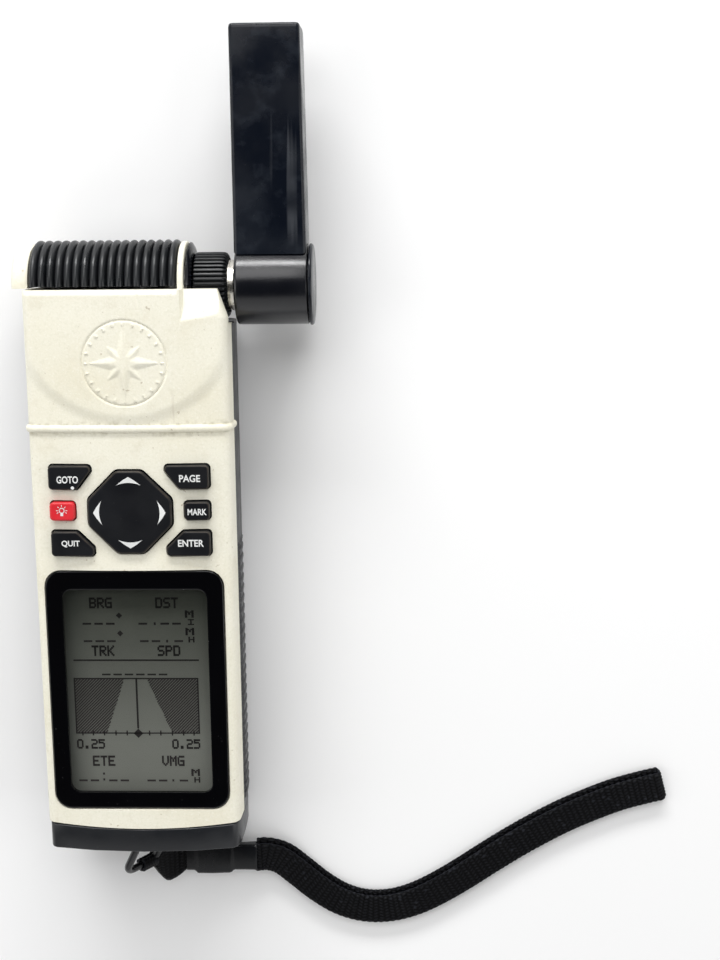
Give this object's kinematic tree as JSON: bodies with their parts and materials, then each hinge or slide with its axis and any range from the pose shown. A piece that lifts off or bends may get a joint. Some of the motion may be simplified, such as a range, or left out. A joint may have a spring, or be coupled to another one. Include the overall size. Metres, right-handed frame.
{
  "type": "handheld aviation gps receiver",
  "caption": "Handheld aviation GPS receiver with rocker and rubber keys, LCD behind a flat lens, ribbed head, swivelling blade antenna on a bayonet plug and a webbing wrist strap.",
  "frame": {"origin": "centre of the receiver's flat back, on the surface that it lies on", "axes": "+X to the receiver's right-hand side, +Y along the body to the antenna end, +Z out of the screen"},
  "size_m": [0.1665, 0.241, 0.0312],
  "materials": {
    "cream_plastic": "fine moulded texture, faint yellowing",
    "black_plastic": "satin",
    "gloss_black": "gloss",
    "black_rubber": "matt moulded rubber",
    "red_rubber": "matt moulded rubber",
    "nickel": "plated",
    "gold_contact": "plated",
    "copper_wire": "drawn wire",
    "clear_lens": "clear gloss",
    "lcd": "reflective display glass",
    "white_plastic": "plain",
    "circuit_board": "solder mask",
    "cell_sleeve": "printed sleeve",
    "webbing": "woven nylon webbing",
    "vinyl": "smooth vinyl"
  },
  "bodies": {
    "case": {"front_cover": "cream_plastic", "rear_case": "black_plastic", "case_gasket_left": "black_rubber", "case_gasket_right": "black_rubber", "case_screw_1": "nickel", "case_screw_2": "nickel", "case_screw_3": "nickel", "case_screw_4": "nickel", "rear_label": "gloss_black", "data_port": "black_plastic", "keypad_mat": "black_rubber", "display_lens": "clear_lens", "lens_mask": "gloss_black", "lcd_glass": "lcd", "lcd_frame": "white_plastic", "backlight_panel": "white_plastic", "main_board": "circuit_board", "processor_chip": "gloss_black", "rf_shield": "nickel", "backup_cell": "nickel", "battery_tray": "black_plastic", "battery_1": "cell_sleeve", "battery_2": "cell_sleeve", "battery_3": "cell_sleeve", "battery_4": "cell_sleeve", "contact_spring_left": "nickel", "contact_spring_right": "nickel", "top_grip": "black_rubber", "end_disc": "cream_plastic", "jack_flange": "black_plastic", "antenna_jack": "nickel", "jack_nut": "nickel", "jack_pin": "gold_contact", "jack_cable": "gloss_black"},
    "port_cap": {"port_cap": "black_rubber"},
    "key_goto": {"key_goto": "black_rubber"},
    "key_page": {"key_page": "black_rubber"},
    "key_light": {"key_light": "red_rubber"},
    "key_mark": {"key_mark": "black_rubber"},
    "key_quit": {"key_quit": "black_rubber"},
    "key_enter": {"key_enter": "black_rubber"},
    "rocker_pivot": {"rocker_pivot": "black_rubber"},
    "rocker_pad": {"rocker_pad": "black_rubber"},
    "battery_door": {"battery_door": "black_plastic", "door_gasket": "black_rubber", "door_contact_plate": "nickel", "wrist_strap": "webbing", "strap_keeper": "vinyl", "strap_loop": "webbing"},
    "door_latch": {"latch_stud": "nickel"},
    "latch_bail": {"latch_bail": "black_plastic"},
    "antenna_plug": {"plug_body": "nickel"},
    "lock_collar": {"lock_collar": "black_rubber"},
    "antenna": {"antenna_hub": "black_plastic", "hub_end_cap": "black_plastic", "antenna_blade": "black_plastic", "blade_back_cover": "black_plastic", "helix_former": "white_plastic", "antenna_helix": "copper_wire", "antenna_cable": "gloss_black"}
  },
  "joints": [
    {"name": "antenna_pull", "type": "slide", "parent": "case", "child": "antenna_plug", "axis": [1, 0, 0], "range_m": [0, 0.01]},
    {"name": "collar_lock", "type": "hinge", "parent": "antenna_plug", "child": "lock_collar", "pos_m": [0, 0.0666, 0.0157], "axis": [1, 0, 0], "range_deg": [0, 90]},
    {"name": "antenna_swivel", "type": "hinge", "parent": "antenna_plug", "child": "antenna", "pos_m": [0, 0.0666, 0.0157], "axis": [1, 0, 0], "continuous": true},
    {"name": "key_goto_press", "type": "slide", "parent": "case", "child": "key_goto", "axis": [0, 0, -1], "range_m": [0, 0.0008], "stiffness_N_per_m": 800},
    {"name": "key_page_press", "type": "slide", "parent": "case", "child": "key_page", "axis": [0, 0, -1], "range_m": [0, 0.0008], "stiffness_N_per_m": 800},
    {"name": "key_light_press", "type": "slide", "parent": "case", "child": "key_light", "axis": [0, 0, -1], "range_m": [0, 0.0008], "stiffness_N_per_m": 800},
    {"name": "key_mark_press", "type": "slide", "parent": "case", "child": "key_mark", "axis": [0, 0, -1], "range_m": [0, 0.0008], "stiffness_N_per_m": 800},
    {"name": "key_quit_press", "type": "slide", "parent": "case", "child": "key_quit", "axis": [0, 0, -1], "range_m": [0, 0.0008], "stiffness_N_per_m": 800},
    {"name": "key_enter_press", "type": "slide", "parent": "case", "child": "key_enter", "axis": [0, 0, -1], "range_m": [0, 0.0008], "stiffness_N_per_m": 800},
    {"name": "rocker_tilt_sideways", "type": "hinge", "parent": "case", "child": "rocker_pivot", "pos_m": [0, 0.0117, 0.0274], "axis": [0, 1, 0], "range_deg": [-4, 4], "stiffness_Nm_per_rad": 0.05},
    {"name": "rocker_tilt_lengthways", "type": "hinge", "parent": "rocker_pivot", "child": "rocker_pad", "pos_m": [0, 0.0117, 0.0274], "axis": [1, 0, 0], "range_deg": [-4, 4], "stiffness_Nm_per_rad": 0.05},
    {"name": "battery_door_slide", "type": "slide", "parent": "case", "child": "battery_door", "axis": [0, -1, 0], "range_m": [0, 0.012]},
    {"name": "latch_turn", "type": "hinge", "parent": "battery_door", "child": "door_latch", "pos_m": [0, -0.0783, 0.017], "axis": [0, -1, 0], "range_deg": [0, 90], "deforming": ["strap_loop"]},
    {"name": "bail_flip", "type": "hinge", "parent": "door_latch", "child": "latch_bail", "pos_m": [0, -0.0806, 0.017], "axis": [-0.5736, 0, 0.8191], "range_deg": [-55, 115]},
    {"name": "port_cap_pull", "type": "slide", "parent": "case", "child": "port_cap", "axis": [0, 0, -1], "range_m": [0, 0.006]}
  ]
}
